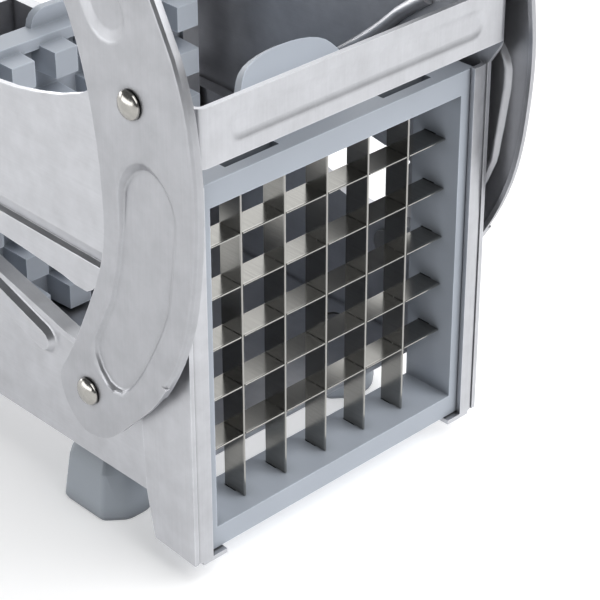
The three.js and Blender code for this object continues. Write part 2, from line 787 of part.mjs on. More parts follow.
function linkPlate(sign) {
  const frontEye = arcPoints(pivotB, linkFrontRadius, frontEyeShares, 8);
  const rearEye = arcPoints(pivotC, linkRearRadius, rearEyeShares, 10);
  const top = smoothPoints([frontEye.at(-1), ...linkTopShares.map(linkPoint), rearEye[0]], 16);
  const low = smoothPoints([rearEye.at(-1), ...linkLowShares.map(linkPoint), frontEye[0]], 56);
  const face = polygon([...frontEye.slice(0, -1), ...top, ...rearEye.slice(1, -1), ...low.slice(0, -1)]);
  pierce(face, pivotB, rivetShank + rivetFit);
  pierce(face, pivotC, rivetShank + rivetFit);
  const outer = sign * (linkInner + sheet);
  const span = [sign * linkInner, outer].sort((a, b) => a - b);
  const groove = slotPoints(...linkGrooveShares.map(linkPoint), linkGrooveHeight / 2);
  return extrudeX(face, ...span).subtract(pressedCut(groove, outer, sign));
}

// Pusher: pegs on a plate, one for each cell, that drops into the carriage
function pegs() {
  const solids = [];
  for (const x of cellCentres) {
    for (const z of cellCentres) {
      const flare = Math.SQRT1_2;
      const peg = new THREE.CylinderGeometry(pegBase * flare, pegWidth * flare, pegLength + gap, 4);
      peg.rotateY(Math.PI / 4).translate(x, pegFace + (pegLength + gap) / 2, gridHeight + z);
      solids.push(toSolid(peg));
    }
  }
  return solids;
}

const plateLow = trayTopOfFloor + sheet + plateFoot;

function pusherPlate() {
  const high = gridHeight + plateTop;
  const plate = block([-plateHalf, plateHalf], [plateFront, plateBack - gap], [plateLow, high]);
  const lipTop = high - sheet + lipHeight;
  const lip = extrudeY(roundedBox([-plateHalf, plateHalf], [high - sheet, lipTop], sheet / 2),
    plateFront - lipReach, plateBack - lipBack);
  const tab = extrudeY(slotShape([-plateTabHalf / 2, lipTop], [plateTabHalf / 2, lipTop], plateTabRise),
    plateBack - lipBack - plateTabThickness, plateBack - lipBack);
  return joinAll([plate, lip, tab, ...pegs()]);
}

// Carriage: a folded sled with an upright, two channels for the plate and two tall ears
const earCornerShare = 0.8;

function carriage() {
  const low = trayTopOfFloor + gap;
  const high = gridHeight + plateTop - lipHeight;
  const tail = pivotC[0] + carriageTail;
  const inner = carriageHalf - sheet;
  const upright = block([-carriageHalf, carriageHalf], [plateBack, plateBack + sheet], [low, high]);
  const floor = block([-carriageHalf, carriageHalf], [plateFront + 2 * gap, tail], [low, low + sheet]);
  const ear = rounded([
    [plateFront - sheet - gap, low], [tail, low], [tail, low + carriageLow, carriageLow / 2],
    [pivotC[0] + 2 * carriageEar, low + carriageLow * 2, carriageLow],
    [pivotC[0] + carriageEar, pivotC[1] + carriageEar, carriageEar * earCornerShare],
    [pivotC[0] - carriageEar, pivotC[1] + carriageEar, carriageEar * earCornerShare],
    [plateBack + sheet, high], [plateFront - sheet - gap, high],
  ]);
  const walls = [[-carriageHalf, -inner], [inner, carriageHalf]].map((span) => extrudeX(ear, ...span));
  const lipSpans = [[-carriageHalf, -plateHalf + channelLip], [plateHalf - channelLip, carriageHalf]];
  const lips = lipSpans.map((span) => block(
    span, [plateFront - sheet - gap, plateFront - gap], [low, high - lipHeight],
  ));
  const axleHole = rodX(axleRadius + axleFit, ...pivotC, -carriageHalf - cutOver, carriageHalf + cutOver);
  return joinAll([upright, floor, ...walls, ...lips]).subtract(axleHole);
}

function linkAxle() {
  return rodX(axleRadius, ...pivotC, -linkInner + 2 * gap, linkInner - 2 * gap);
}

function runner(sign) {
  const low = trayTopOfFloor + gap;
  const from = plateBack + carriageLow;
  const to = pivotC[0] + carriageTail - carriageLow;
  const near = carriageHalf + gap / 2;
  const span = [sign * near, sign * (near + runnerThickness)].sort((a, b) => a - b);
  return extrudeX(roundedBox([from, to], [low, low + runnerHeight], runnerHeight / 3), ...span);
}

// Handle
function handleRod() {
  const end = armInner + sheet + gap;
  return rodX(rodRadius, ...gripCentre, -end - nutLength / 2, end + nutLength / 2);
}

function handleGrip() {
  const end = armInner - armFlange / 2;
  const bore = rodRadius + rodFit;
  return turnedX([
    [bore, -end], [gripRadius - sheet, -end], [gripRadius, -end + sheet], [gripRadius, -end + cellPitch],
    [gripWaist, -end + 2 * cellPitch], [gripWaist, end - 2 * cellPitch],
    [gripRadius, end - cellPitch], [gripRadius, end - sheet], [gripRadius - sheet, end], [bore, end],
    [bore, -end],
  ], ...gripCentre, fineFacets);
}

const nutSideShare = 0.6;
const nutDomeShare = 0.8;

function capNut(sign) {
  const face = armInner + sheet + gap;
  const shoulder = face + nutLength * nutSideShare;
  const bore = rodRadius + rodFit;
  const inner = nutLength / 2 + gap;
  return turnedX([
    [bore, sign * face], [nutRadius, sign * face], [nutRadius, sign * shoulder],
    ...dome(nutRadius, shoulder, nutLength * nutDomeShare, sign).slice(1),
    [0, sign * (face + inner)], [bore, sign * (face + inner)], [bore, sign * face],
  ], ...gripCentre);
}

// Feet: tapered moulded blocks with bowed ends under the tray, each on one screw
const bowShare = 0.4;

function foot([x, y]) {
  const high = trayFloor - gap;
  const body = loftedFoot([
    [0, -sheet / 2], [sheet, 0], [high - footShoulderDrop, -footTaper], [high, -footShoulder],
  ]).translate([x, y, 0]);
  const socket = turnedZ([[0, -cutOver], [footSocket, -cutOver], [footSocket, footSocketDepth],
    [0, footSocketDepth]], x, y);
  const radius = footScrewRadius + rivetFit;
  const bore = turnedZ([[0, -cutOver], [radius, -cutOver], [radius, high + cutOver],
    [0, high + cutOver]], x, y);
  return cutAll(body, [socket, bore]);
}

// The foot's outline carried up through rings of [height, growth]
function loftedFoot(rings) {
  const bowHalf = footHalfWidth * bowShare;
  const quarter = [[footHalfWidth, footSideHalf, footCorner], [bowHalf, footHalfLength, footBow]];
  const mirrored = (points, across, along) => points.map(([u, v, radius]) => [across * u, along * v, radius]);
  const shape = rounded([
    ...mirrored(quarter, 1, 1), ...mirrored(quarter, -1, 1).reverse(),
    ...mirrored(quarter, -1, -1), ...mirrored(quarter, 1, -1).reverse(),
  ], 3);
  const count = rings.length - 1;
  const loft = new THREE.ExtrudeGeometry(shape, { depth: count, steps: count, bevelEnabled: false });
  const spots = loft.attributes.position;
  for (let i = 0; i < spots.count; i += 1) {
    const [height, grow] = rings[Math.round(spots.getZ(i))];
    const across = spots.getX(i) * (1 + grow / footHalfWidth);
    spots.setXYZ(i, across, spots.getY(i) * (1 + grow / footHalfLength), height);
  }
  return toSolid(loft);
}

function footScrew([x, y]) {
  const top = trayTopOfFloor - gap;
  const seat = footSocketDepth - gap;
  return turnedZ([[0, seat - footScrewHeight], [footScrewHead, seat - footScrewHeight], [footScrewHead, seat],
    [footScrewRadius, seat], [footScrewRadius, top], [0, top]], x, y);
}

// Assembly
const cutter = new THREE.Group();

function place(name, solid, look) {
  cutter.add(toMesh(name, solid, look));
}

place('body_tray', bodyTray(), 'steel');
place('front_frame', frontFrame(), 'steel');
place('blade_frame', bladeFrame(), 'plastic');
gridLines.forEach((x, i) => place(`upright_blade_${i + 1}`, uprightBlade(x), 'blade'));
gridLines.forEach((z, i) => place(`level_blade_${i + 1}`, levelBlade(z), 'blade'));
place('pusher_plate', pusherPlate(), 'plastic');
place('carriage', carriage(), 'steel');
place('link_axle', linkAxle(), 'bright');
const footNames = ['front_left', 'front_right', 'rear_left', 'rear_right'];
footCentres.forEach((centre, i) => {
  place(`${footNames[i]}_foot`, foot(centre), 'foot');
  place(`${footNames[i]}_foot_screw`, footScrew(centre), 'bright');
});
for (const [side, sign] of Object.entries(leftRight)) {
  place(`${side}_lever_arm`, leverArm(sign), 'steel');
  place(`${side}_link_plate`, linkPlate(sign), 'steel');
  place(`${side}_lever_rivet`, leverRivet(sign), 'bright');
  place(`${side}_link_front_rivet`, linkFrontRivet(sign), 'bright');
  place(`${side}_link_rear_rivet`, linkRearRivet(sign), 'bright');
  place(`${side}_runner`, runner(sign), 'plastic');
  place(`${side}_cap_nut`, capNut(sign), 'bright');
  place(`${side}_frame_rivet`, frameRivet(sign), 'bright');
}
place('handle_rod', handleRod(), 'bright');
place('handle_grip', handleGrip(), 'grip');

// The origin is the middle of the footprint, on the surface that the feet stand on
const reach = new THREE.Box3().setFromObject(cutter);
cutter.position.y = -(reach.min.y + reach.max.y) / 2;

export default cutter;
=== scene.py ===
"""A lever french fry cutter in plated sheet steel and grey mouldings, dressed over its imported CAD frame."""

import json
import math

import bmesh
import bpy
from bpy.props import FloatProperty, FloatVectorProperty, PointerProperty
from mathutils import Matrix, Vector


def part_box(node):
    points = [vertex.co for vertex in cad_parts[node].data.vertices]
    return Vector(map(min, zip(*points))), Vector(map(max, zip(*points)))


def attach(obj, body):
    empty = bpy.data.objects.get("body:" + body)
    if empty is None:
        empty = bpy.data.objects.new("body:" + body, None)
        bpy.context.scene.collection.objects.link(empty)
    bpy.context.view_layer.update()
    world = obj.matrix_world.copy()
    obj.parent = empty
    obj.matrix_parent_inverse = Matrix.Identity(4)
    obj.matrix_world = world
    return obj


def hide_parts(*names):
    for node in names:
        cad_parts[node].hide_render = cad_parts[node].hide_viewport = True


bl_info = {
    "name": "French Fry Cutter",
    "version": (1, 0, 0),
    "blender": (4, 5, 0),
    "location": "View3D > Sidebar > Fry Cutter",
    "description": "Dresses the fry cutter's CAD frame with finished pieces and materials",
    "category": "Object",
}

MM = 0.001
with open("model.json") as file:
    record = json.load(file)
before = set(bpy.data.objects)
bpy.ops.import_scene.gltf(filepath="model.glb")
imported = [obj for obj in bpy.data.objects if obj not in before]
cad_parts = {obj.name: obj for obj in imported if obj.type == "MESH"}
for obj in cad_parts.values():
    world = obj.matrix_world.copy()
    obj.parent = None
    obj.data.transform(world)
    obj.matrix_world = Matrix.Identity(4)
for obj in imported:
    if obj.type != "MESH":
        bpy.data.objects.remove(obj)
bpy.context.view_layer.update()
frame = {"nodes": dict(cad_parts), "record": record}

# Places across the blade grid are in cells: back from the blades' front, and up from the grid's middle
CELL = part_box("upright_blade_2")[0].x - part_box("upright_blade_1")[0].x
GRID_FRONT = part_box("level_blade_3")[0].y
GRID_MIDDLE = (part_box("level_blade_3")[0].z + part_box("level_blade_3")[1].z) / 2

SHEET = 1.2 * MM
# The CAD presses its forms this deep, and the dressed sheet presses them further by the second value
PRESSED = 0.6 * MM
PRESSED_FURTHER = 0.45 * MM
# The tray's ribs lie inside its rim by the first value, and rise further by the second
RIB_INSET = 1.8 * MM
RIB_RAISE = 0.7 * MM

# The strap's long dish is shallower than in the CAD, with gentle slopes and broad rims
DISH_SHALLOWER = 0.1 * MM
DISH_SLOPE = 0.35 * MM
DISH_RIMS = 0.8 * MM

# The wings' top edges, from the back to the strap, and the radius of the bead rolled along them
WING_EDGE_CELLS = (
    (3.35, 2.47),
    (3.09, 2.7),
    (2.7, 2.99),
    (2.38, 3.25),
    (2.07, 3.53),
    (1.75, 3.84),
    (1.46, 4.07),
    (1.05, 4.37),
)
WING_BEAD = 1.7 * MM
WING_INSET = 0.05 * MM
BEAD_SIDES = 16
# How far the bead's middle lies below the edge, as a share of its radius
BEAD_SINK = 0.8

# The link plates' groove: its front end and its back end, its width, its upper hollow and its rims
LINK_GROOVE_CELLS = ((0.9, 1.59), (4.6, 1.62))
LINK_GROOVE_WIDTH = 6.2 * MM
LINK_HOLLOW = 2.0 * MM
LINK_RIMS = 0.8 * MM

# Places along an arm are shares of the way from its own hinge to the link plate's
PANEL_END_SHARE = 0.66
PANEL_END_FADE = 0.1
RIB_END_SHARE = 1.3
RIB_END_FADE = 0.15
END_SLOPE = 1.6 * MM
END_DEPTH = 0.9 * MM
RIB_SHALLOWER = 0.36 * MM
ARM_RIMS = 0.65 * MM

# Points closer than this are one point
MERGE = 0.002 * MM
# A face is a form's flat when it looks this squarely along the axis and lies this near to the level
SQUARELY = 0.99
NEAR_LEVEL = 0.05 * MM
# A face of a plate's broad side looks this squarely outwards
FLAT_ON = 0.9999
# A blade's edge is at the front when it lies this near to it
NEAR_FRONT = 0.01 * MM
# Faces that bend less than the first angle merge, edges over the second are rounded, and edges over
# the third shade as creases
FLAT_ANGLE = math.radians(0.6)
CORNER_ANGLE = math.radians(28)
SHADE_ANGLE = math.radians(35)

# Each light's place and aim in metres, its watts, its width and its depth
LIGHTS = {
    "left_low": ((-1.15, 0.45, 0.17), (0, 0, 0.06), 4.6, 1.6, 0.3),
    "back_low": ((0.1, 1.3, 0.16), (0, 0, 0.08), 6.0, 1.6, 0.3),
    "key": ((0.2, -0.8, 1.1), (0, 0, 0.08), 17.0, 1.3, 1.3),
    "back_wall": ((0.8, 0.85, 0.65), (0, 0, 0.08), 7.0, 1.4, 1.0),
}
FLOOR_SIZE = 4.0

# The camera is solved from the blade grid's lines in the photograph
LENS_MILLIMETRES = 131.87
CAMERA_PLACE = Vector((-303.24, -383.98, 313.24)) * MM
CAMERA_RIGHT = Vector((0.7187, -0.6953, 0.0))
CAMERA_AHEAD = Vector((0.5957, 0.6157, -0.5156))


def linear(hex_code):
    """The linear red, green, blue and alpha of an sRGB hex colour."""
    channels = [int(hex_code[i : i + 2], 16) / 255 for i in (1, 3, 5)]
    return [c / 12.92 if c <= 0.04045 else ((c + 0.055) / 1.055) ** 2.4 for c in channels] + [1.0]


def colour(hex_code, name, description):
    return FloatVectorProperty(
        name=name, description=description, subtype="COLOR", size=4, min=0, max=1, default=linear(hex_code)
    )


def length(millimetres, name, description):
    return FloatProperty(
        name=name, description=description, unit="LENGTH", subtype="DISTANCE", min=0, default=millimetres * MM
    )


class CutterEdges(bpy.types.PropertyGroup):
    """How far the pieces' edges are rounded."""

    sheet: length(0.22, "Sheet edge", "Rounding of a blanked sheet-steel edge")
    press: length(0.5, "Pressed edge", "Rounding of the rims of a pressed form")
    moulded: length(0.45, "Moulded edge", "Rounding of a plastic moulding's edges")
    peg: length(0.5, "Peg edge", "Rounding of the pusher's pegs")
    turned: length(0.18, "Turned edge", "Rounding of rivet heads, nuts and screws")
    whetted: length(0.13, "Whetted edge", "Chamfer of the blades' front edges")


class CutterColours(bpy.types.PropertyGroup):
    """Base colours of the finishes."""

    sheet: colour("#C4C5C9", "Sheet steel", "Plated sheet steel")
    # The arms' colour is the sheet steel painted darker, a painted shade standing for their darker
    # reflections
    arm: colour("#B3B4B8", "Arm steel", "Slightly duller plated steel of the lever arms")
    blade: colour("#94938F", "Blades", "Rolled stainless strip")
    # The whetted land's paler colour is partly a painted highlight along the blades' front edges
    whetted: colour("#A9A8A4", "Whetted land", "Ground front edge of the blades")
    rivet: colour("#ADABA6", "Bright steel", "Nickel-plated rivets, rods and nuts")
    moulding: colour("#ABB2BC", "Blade frame", "Blue-grey polypropylene")
    # The pusher's colour is the frame's blue-grey painted lighter, painted light on its pegs
    pusher: colour("#C3CAD4", "Pusher", "Paler blue-grey polypropylene of the pegged pusher")
    foot: colour("#9EA5AD", "Feet", "Darker blue-grey polypropylene")
    grip: colour("#8794A2", "Grip", "Blue-grey grip moulding")
    floor: colour("#F4F4F4", "Floor", "Pale studio floor")
    sky: colour("#F2F5F8", "Room", "Faint light from all round")


def edges():
    return bpy.context.scene.cutter_edges


def colours():
    return bpy.context.scene.cutter_colours


# Materials


def add_node(tree, kind, inputs=None, stops=(), **settings):
    """Adds a node with its settings and a ramp's two stops, and fills its inputs with values or links."""
    node = tree.nodes.new(kind)
    for key, value in settings.items():
        setattr(node, key, value)
    for i, (position, shade) in enumerate(stops):
        node.color_ramp.elements[i].position = position
        node.color_ramp.elements[i].color = shade
    for key, value in (inputs or {}).items():
        socket = node.inputs[key]
        if isinstance(value, bpy.types.NodeSocket):
            tree.links.new(value, socket)
        else:
            socket.default_value = value
    return node


def new_material(name):
    """An empty node material, with its tree and the Object coordinates that its patterns read."""
    material = bpy.data.materials.new(name)
    material.use_nodes = True
    tree = material.node_tree
    tree.nodes.clear()
    place = add_node(tree, "ShaderNodeTexCoord").outputs["Object"]
    return material, tree, place


def per_metre(millimetres):
    """A noise scale whose features are that many millimetres across."""
    return 1 / (millimetres * MM)


def shaded(base, factor):
    """A colour made lighter or darker by a factor."""
    return [min(1.0, c * factor) for c in base[:3]] + [1.0]


def grain(tree, place, across, along, direction):
    """Noise stretched along one axis, for rolled metal: its streaks' width and length in millimetres."""
    stretch = [per_metre(across)] * 3
    stretch[direction] = per_metre(along)
    mapped = add_node(tree, "ShaderNodeMapping", {"Vector": place, "Scale": stretch})
    noise = add_node(
        tree, "ShaderNodeTexNoise", {"Vector": mapped.outputs["Vector"], "Scale": 1.0, "Detail": 3.0}
    )
    return noise.outputs["Fac"]


def edge_wear_and_highlight(tree, millimetres, breakup):
    """A mask of edges within that many millimetres, broken up by a noise, for worn edges and for painted edge
    highlights.
    """
    rounded = add_node(tree, "ShaderNodeBevel", {"Radius": millimetres * MM}, samples=4)
    plain = add_node(tree, "ShaderNodeNewGeometry")
    bend = add_node(
        tree,
        "ShaderNodeVectorMath",
        {0: rounded.outputs["Normal"], 1: plain.outputs["Normal"]},
        operation="DOT_PRODUCT",
    )
    edge = add_node(
        tree, "ShaderNodeMapRange", {"Value": bend.outputs["Value"], "From Min": 0.99, "From Max": 0.9}
    )
    patch = add_node(
        tree, "ShaderNodeMapRange", {"Value": breakup, "From Min": 0.38, "From Max": 0.55, "To Min": 0.3}
    )
    mask = add_node(
        tree, "ShaderNodeMath", {0: edge.outputs["Result"], 1: patch.outputs["Result"]}, operation="MULTIPLY"
    )
    return mask.outputs["Value"]


def recess_shaded(tree, tint, millimetres, darkest):
    """The tint with painted shade in the recesses and corners that are that many millimetres across."""
    shelter = add_node(tree, "ShaderNodeAmbientOcclusion", {"Distance": millimetres * MM}, samples=6)
    shade = add_node(
        tree,
        "ShaderNodeMapRange",
        {"Value": shelter.outputs["AO"], "From Min": 0.45, "From Max": 0.95, "To Min": darkest},
    )
    mix = add_node(
        tree,
        "ShaderNodeMix",
        {"Factor": 1.0, 6: tint, 7: shade.outputs["Result"]},
        data_type="RGBA",
        blend_type="MULTIPLY",
    )
    return mix.outputs[2]


def plated_sheet_steel(name, base, direction):
    """Nickel-plated mild steel sheet: a pale satin metal with faint stains and long rolling streaks."""
    material, tree, place = new_material(name)
    # Rolling streaks about 0.25 mm across, drawn twice as coarse so that they show
    streaks = grain(tree, place, 0.5, 22.0, direction)
    # Stains from handling and from the plating bath are about 7 mm across, with finer ones among them
    stains = add_node(
        tree,
        "ShaderNodeTexNoise",
        {"Vector": place, "Scale": per_metre(7.0), "Detail": 8.0, "Roughness": 0.62},
    ).outputs["Fac"]
    mixed = add_node(
        tree, "ShaderNodeMix", {"Factor": 0.22, "A": stains, "B": streaks}, data_type="FLOAT"
    ).outputs["Result"]
    sheen = add_node(
        tree,
        "ShaderNodeValToRGB",
        {"Fac": mixed},
        stops=((0.34, shaded(base, 0.88)), (0.66, shaded(base, 1.05))),
    ).outputs["Color"]
    # Handling rubs the plating bright along its edges
    tint = add_node(
        tree,
        "ShaderNodeMix",
        {6: sheen, 7: shaded(base, 1.25), "Factor": edge_wear_and_highlight(tree, 0.5, stains)},
        data_type="RGBA",
    ).outputs[2]
    gloss = add_node(
        tree,
        "ShaderNodeMapRange",
        {"Value": mixed, "From Min": 0.3, "From Max": 0.7, "To Min": 0.3, "To Max": 0.4},
    ).outputs["Result"]
    bump = add_node(
        tree, "ShaderNodeBump", {"Height": streaks, "Strength": 0.03, "Distance": 0.05 * MM}
    ).outputs["Normal"]
    # Painted shade darkens the plating in its recesses and corners
    shader = add_node(
        tree,
        "ShaderNodeBsdfPrincipled",
        {"Base Color": recess_shaded(tree, tint, 1.6, 0.45), "Roughness": gloss, "Normal": bump, "Metallic": 0.92},
    )
    add_node(tree, "ShaderNodeOutputMaterial", {"Surface": shader.outputs["BSDF"]})
    return material


def rolled_blade_strip(name):
    """Thin stainless strip with a bright rolled face and a whetted front edge, whose paler colour is partly a
    painted highlight.
    """
    material, tree, place = new_material(name)
    base = colours().blade
    # Rolling lines about 0.05 mm across, drawn five times as coarse so that they show
    lines = grain(tree, place, 0.25, 12.0, 1)
    parts = add_node(tree, "ShaderNodeSeparateXYZ", {"Vector": place})
    # The whetted land is the front half millimetre, painted paler both for its ground finish and as a painted
    # highlight along the front edges
    land = add_node(
        tree,
        "ShaderNodeMapRange",
        {
            "Value": parts.outputs["Y"],
            "From Min": GRID_FRONT + 0.55 * MM,
            "From Max": GRID_FRONT + 0.45 * MM,
        },
    ).outputs["Result"]
    face = add_node(
        tree,
        "ShaderNodeValToRGB",
        {"Fac": lines},
        stops=((0.3, shaded(base, 0.88)), (0.7, shaded(base, 1.06))),
    ).outputs["Color"]
    tint = add_node(
        tree, "ShaderNodeMix", {6: face, 7: list(colours().whetted), "Factor": land}, data_type="RGBA"
    ).outputs[2]
    bump = add_node(
        tree, "ShaderNodeBump", {"Height": lines, "Strength": 0.04, "Distance": 0.03 * MM}
    ).outputs["Normal"]
    shader = add_node(
        tree,
        "ShaderNodeBsdfPrincipled",
        {"Base Color": tint, "Normal": bump, "Metallic": 1.0, "Roughness": 0.2},
    )
    add_node(tree, "ShaderNodeOutputMaterial", {"Surface": shader.outputs["BSDF"]})
    return material


def nickel_plate(name):
    """Barrel-plated nickel on rivets, nuts and rods: bright and slightly warm, with soft pitting."""
    material, tree, place = new_material(name)
    base = colours().rivet
    # Pits about 0.3 mm across, drawn at 1.4 mm so that they show
    pits = add_node(
        tree, "ShaderNodeTexNoise", {"Vector": place, "Scale": per_metre(1.4), "Detail": 3.0}
    ).outputs["Fac"]
    tint = add_node(
        tree,
        "ShaderNodeValToRGB",
        {"Fac": pits},
        stops=((0.3, shaded(base, 0.9)), (0.65, shaded(base, 1.02))),
    ).outputs["Color"]
    gloss = add_node(
        tree,
        "ShaderNodeMapRange",
        {"Value": pits, "From Min": 0.3, "From Max": 0.7, "To Min": 0.12, "To Max": 0.24},
    ).outputs["Result"]
    bump = add_node(
        tree, "ShaderNodeBump", {"Height": pits, "Strength": 0.08, "Distance": 0.1 * MM}
    ).outputs["Normal"]
    shader = add_node(
        tree,
        "ShaderNodeBsdfPrincipled",
        {"Base Color": tint, "Roughness": gloss, "Normal": bump, "Metallic": 1.0},
    )
    add_node(tree, "ShaderNodeOutputMaterial", {"Surface": shader.outputs["BSDF"]})
    return material


def moulded_polypropylene(name, base, rough, texture):
    """Injection-moulded polypropylene: satin, with a fine spark-eroded texture and faint flow marks."""
    material, tree, place = new_material(name)
    # Flow marks from the mould's gate are about 20 mm across
    flow = add_node(
        tree, "ShaderNodeTexNoise", {"Vector": place, "Scale": per_metre(20.0), "Detail": 2.0}
    ).outputs["Fac"]
    body = add_node(
        tree,
        "ShaderNodeValToRGB",
        {"Fac": flow},
        stops=((0.3, shaded(base, 0.96)), (0.7, shaded(base, 1.03))),
    ).outputs["Color"]
    # A moulding's edges are painted paler, a painted highlight along them
    tint = add_node(
        tree,
        "ShaderNodeMix",
        {6: body, 7: shaded(base, 1.35), "Factor": edge_wear_and_highlight(tree, 0.6, flow)},
        data_type="RGBA",
    ).outputs[2]
    # Spark texture about 0.15 mm across, drawn at the size given so that it shows
    spark = add_node(
        tree, "ShaderNodeTexNoise", {"Vector": place, "Scale": per_metre(texture), "Detail": 4.0}
    ).outputs["Fac"]
    gloss = add_node(
        tree,
        "ShaderNodeMapRange",
        {"Value": spark, "From Min": 0.3, "From Max": 0.7, "To Min": rough - 0.05, "To Max": rough + 0.08},
    ).outputs["Result"]
    bump = add_node(
        tree, "ShaderNodeBump", {"Height": spark, "Strength": 0.1, "Distance": 0.06 * MM}
    ).outputs["Normal"]
    # Painted shade darkens the moulding in its recesses and corners
    shader = add_node(
        tree,
        "ShaderNodeBsdfPrincipled",
        {"Base Color": recess_shaded(tree, tint, 5.0, 0.5), "Roughness": gloss, "Normal": bump, "IOR": 1.49},
    )
    add_node(tree, "ShaderNodeOutputMaterial", {"Surface": shader.outputs["BSDF"]})
    return material


def light_table(name):
    """Opal white floor, lit a little from below so that the shadows stay faint."""
    material, tree, _ = new_material(name)
    shader = add_node(
        tree,
        "ShaderNodeBsdfPrincipled",
        {
            "Base Color": list(colours().floor),
            "Roughness": 0.9,
            "Emission Color": list(colours().floor),
            "Emission Strength": 0.4,
        },
    )
    add_node(tree, "ShaderNodeOutputMaterial", {"Surface": shader.outputs["BSDF"]})
    return material


def material_named(name, maker, *details):
    """A material by name, made on first use."""
    return bpy.data.materials.get(name) or maker(name, *details)


def steel_along(direction):
    return material_named(f"steel_grain_{'xyz'[direction]}", plated_sheet_steel, colours().sheet, direction)


def polypropylene(name, base, rough=0.42, texture=0.4):
    return material_named(name, moulded_polypropylene, base, rough, texture)


def grey_moulding():
    return polypropylene("polypropylene_grey", colours().moulding)


def nickel():
    return material_named("nickel_plate", nickel_plate)


# Pieces


def placed(name, data):
    obj = bpy.data.objects.new(name, data)
    bpy.context.scene.collection.objects.link(obj)
    return obj


def finished(obj, material):
    """Gives a piece its material, and smooth shading up to the shade angle."""
    obj.data.materials.clear()
    obj.data.materials.append(material)
    obj.data.polygons.foreach_set("use_smooth", [True] * len(obj.data.polygons))
    obj.data.set_sharp_from_angle(angle=SHADE_ANGLE)
    return obj


def flat_form(shape, axis, level, outward):
    """The faces at one level across an axis that look outwards: the flats of pressed forms."""
    return [
        face
        for face in shape.faces
        if face.normal[axis] * outward > SQUARELY
        and abs(face.calc_center_median()[axis] - level) < NEAR_LEVEL
    ]


def pressed_rims(shape, flats):
    """The rims round pressed flats: where each slope leaves the sheet, and where it meets the flat."""
    inside = set(flats)
    lower = {e for f in flats for e in f.edges if any(near not in inside for near in e.link_faces)}
    corners = {v for e in lower for v in e.verts}
    slopes = {near for e in lower for near in e.link_faces if near not in inside}
    upper = {e for f in slopes for e in f.edges if not corners.intersection(e.verts)}
    return upper, lower


def round_off(shape, members, width, segments):
    alive = [e for e in members if e.is_valid]
    if width > 0 and alive:
        bmesh.ops.bevel(
            shape,
            geom=alive,
            offset=width,
            offset_type="OFFSET",
            affect="EDGES",
            segments=segments,
            profile=0.5,
            material=-1,
            clamp_overlap=True,
            face_strength_mode="ALL",
        )


def press_further(shape, axis, level, outward, depth=PRESSED_FURTHER, ease=None, rims=None):
    """Sinks the pressed flats at a level, or raises them by a negative depth, and rounds their rims.

    ease(point) may widen a slope.
    """
    width = edges().press if rims is None else rims
    flats = flat_form(shape, axis, level, outward)
    upper, lower = pressed_rims(shape, flats)
    for corner in {v for f in flats for v in f.verts}:
        corner.co[axis] -= outward * depth
        if ease:
            corner.co += ease(corner.co)
    round_off(shape, upper, width, 3)
    round_off(shape, lower, width, 3)


def worked_copy(node, name, radius, segments=2, work=None, pick=None):
    """A CAD node's copy with rounded edges; work(shape) reshapes it, pick(edge) limits the rounding."""
    mesh = frame["nodes"][node].data.copy()
    mesh.name = name
    shape = bmesh.new()
    shape.from_mesh(mesh)
    bmesh.ops.remove_doubles(shape, verts=shape.verts, dist=MERGE)
    bmesh.ops.dissolve_degenerate(shape, edges=shape.edges, dist=MERGE)
    bmesh.ops.dissolve_limit(
        shape, angle_limit=FLAT_ANGLE, verts=shape.verts, edges=shape.edges, delimit={"NORMAL"}
    )
    if work:
        work(shape)
    sharp = [e for e in shape.edges if len(e.link_faces) == 2 and e.calc_face_angle(0) > CORNER_ANGLE]
    round_off(shape, [e for e in sharp if pick is None or pick(e)], radius, segments)
    shape.to_mesh(mesh)
    shape.free()
    return placed(name, mesh)


def body_of_node(node):
    for body, members in frame["record"]["behaviour"]["bodies"].items():
        if node in members:
            return body
    raise RuntimeError(f"{node} is on no body")


def dressed(node, material, radius, **options):
    """A finished piece that stands for a CAD node and rides on its body."""
    obj = finished(worked_copy(node, f"{node}_dressed", radius, **options), material)
    # Broad faces look flat beside their narrow rounded edges
    modifier = obj.modifiers.new("Weighted normals", "WEIGHTED_NORMAL")
    modifier.keep_sharp = True
    modifier.use_face_influence = True
    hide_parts(node)
    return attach(obj, body_of_node(node))


def farthest_side(node):
    """How far a node reaches from the middle plane."""
    return max(abs(corner.x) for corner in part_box(node))


def at_grid(back, up):
    return GRID_FRONT + back * CELL, GRID_MIDDLE + up * CELL


def joint_place(name):
    """Where a joint's axis lies, as a point in the middle plane."""
    for joint in frame["record"]["behaviour"]["joints"]:
        if joint["name"] == name:
            return Vector(joint["pos_m"])
    raise RuntimeError(f"no joint {name}")


def wing_hem(side):
    """The wing's top edge, rolled inwards into a bead."""
    middle = side * (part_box("front_frame")[1].x - WING_INSET - WING_BEAD)
    line = [Vector(at_grid(*cells)) for cells in WING_EDGE_CELLS]
    shape = bmesh.new()
    rings = []
    for i, point in enumerate(line):
        along = (line[min(i + 1, len(line) - 1)] - line[max(i - 1, 0)]).normalized()
        # The path runs forwards, so this looks up
        upwards = Vector((along.y, -along.x))
        ring = []
        for step in range(BEAD_SIDES):
            angle = step / BEAD_SIDES * math.tau
            place = point + upwards * WING_BEAD * (math.sin(angle) - BEAD_SINK)
            ring.append(shape.verts.new((middle + WING_BEAD * math.cos(angle), place.x, place.y)))
        rings.append(ring)
    for near, far in zip(rings, rings[1:]):
        for i in range(BEAD_SIDES):
            shape.faces.new((near[i - 1], near[i], far[i], far[i - 1]))
    shape.faces.new(rings[0])
    shape.faces.new(rings[-1])
    bmesh.ops.recalc_face_normals(shape, faces=shape.faces)
    name = f"{'left' if side < 0 else 'right'}_wing_hem"
    mesh = bpy.data.meshes.new(name)
    shape.to_mesh(mesh)
    shape.free()
    obj = finished(placed(name, mesh), steel_along(1))
    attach(obj, "frame")


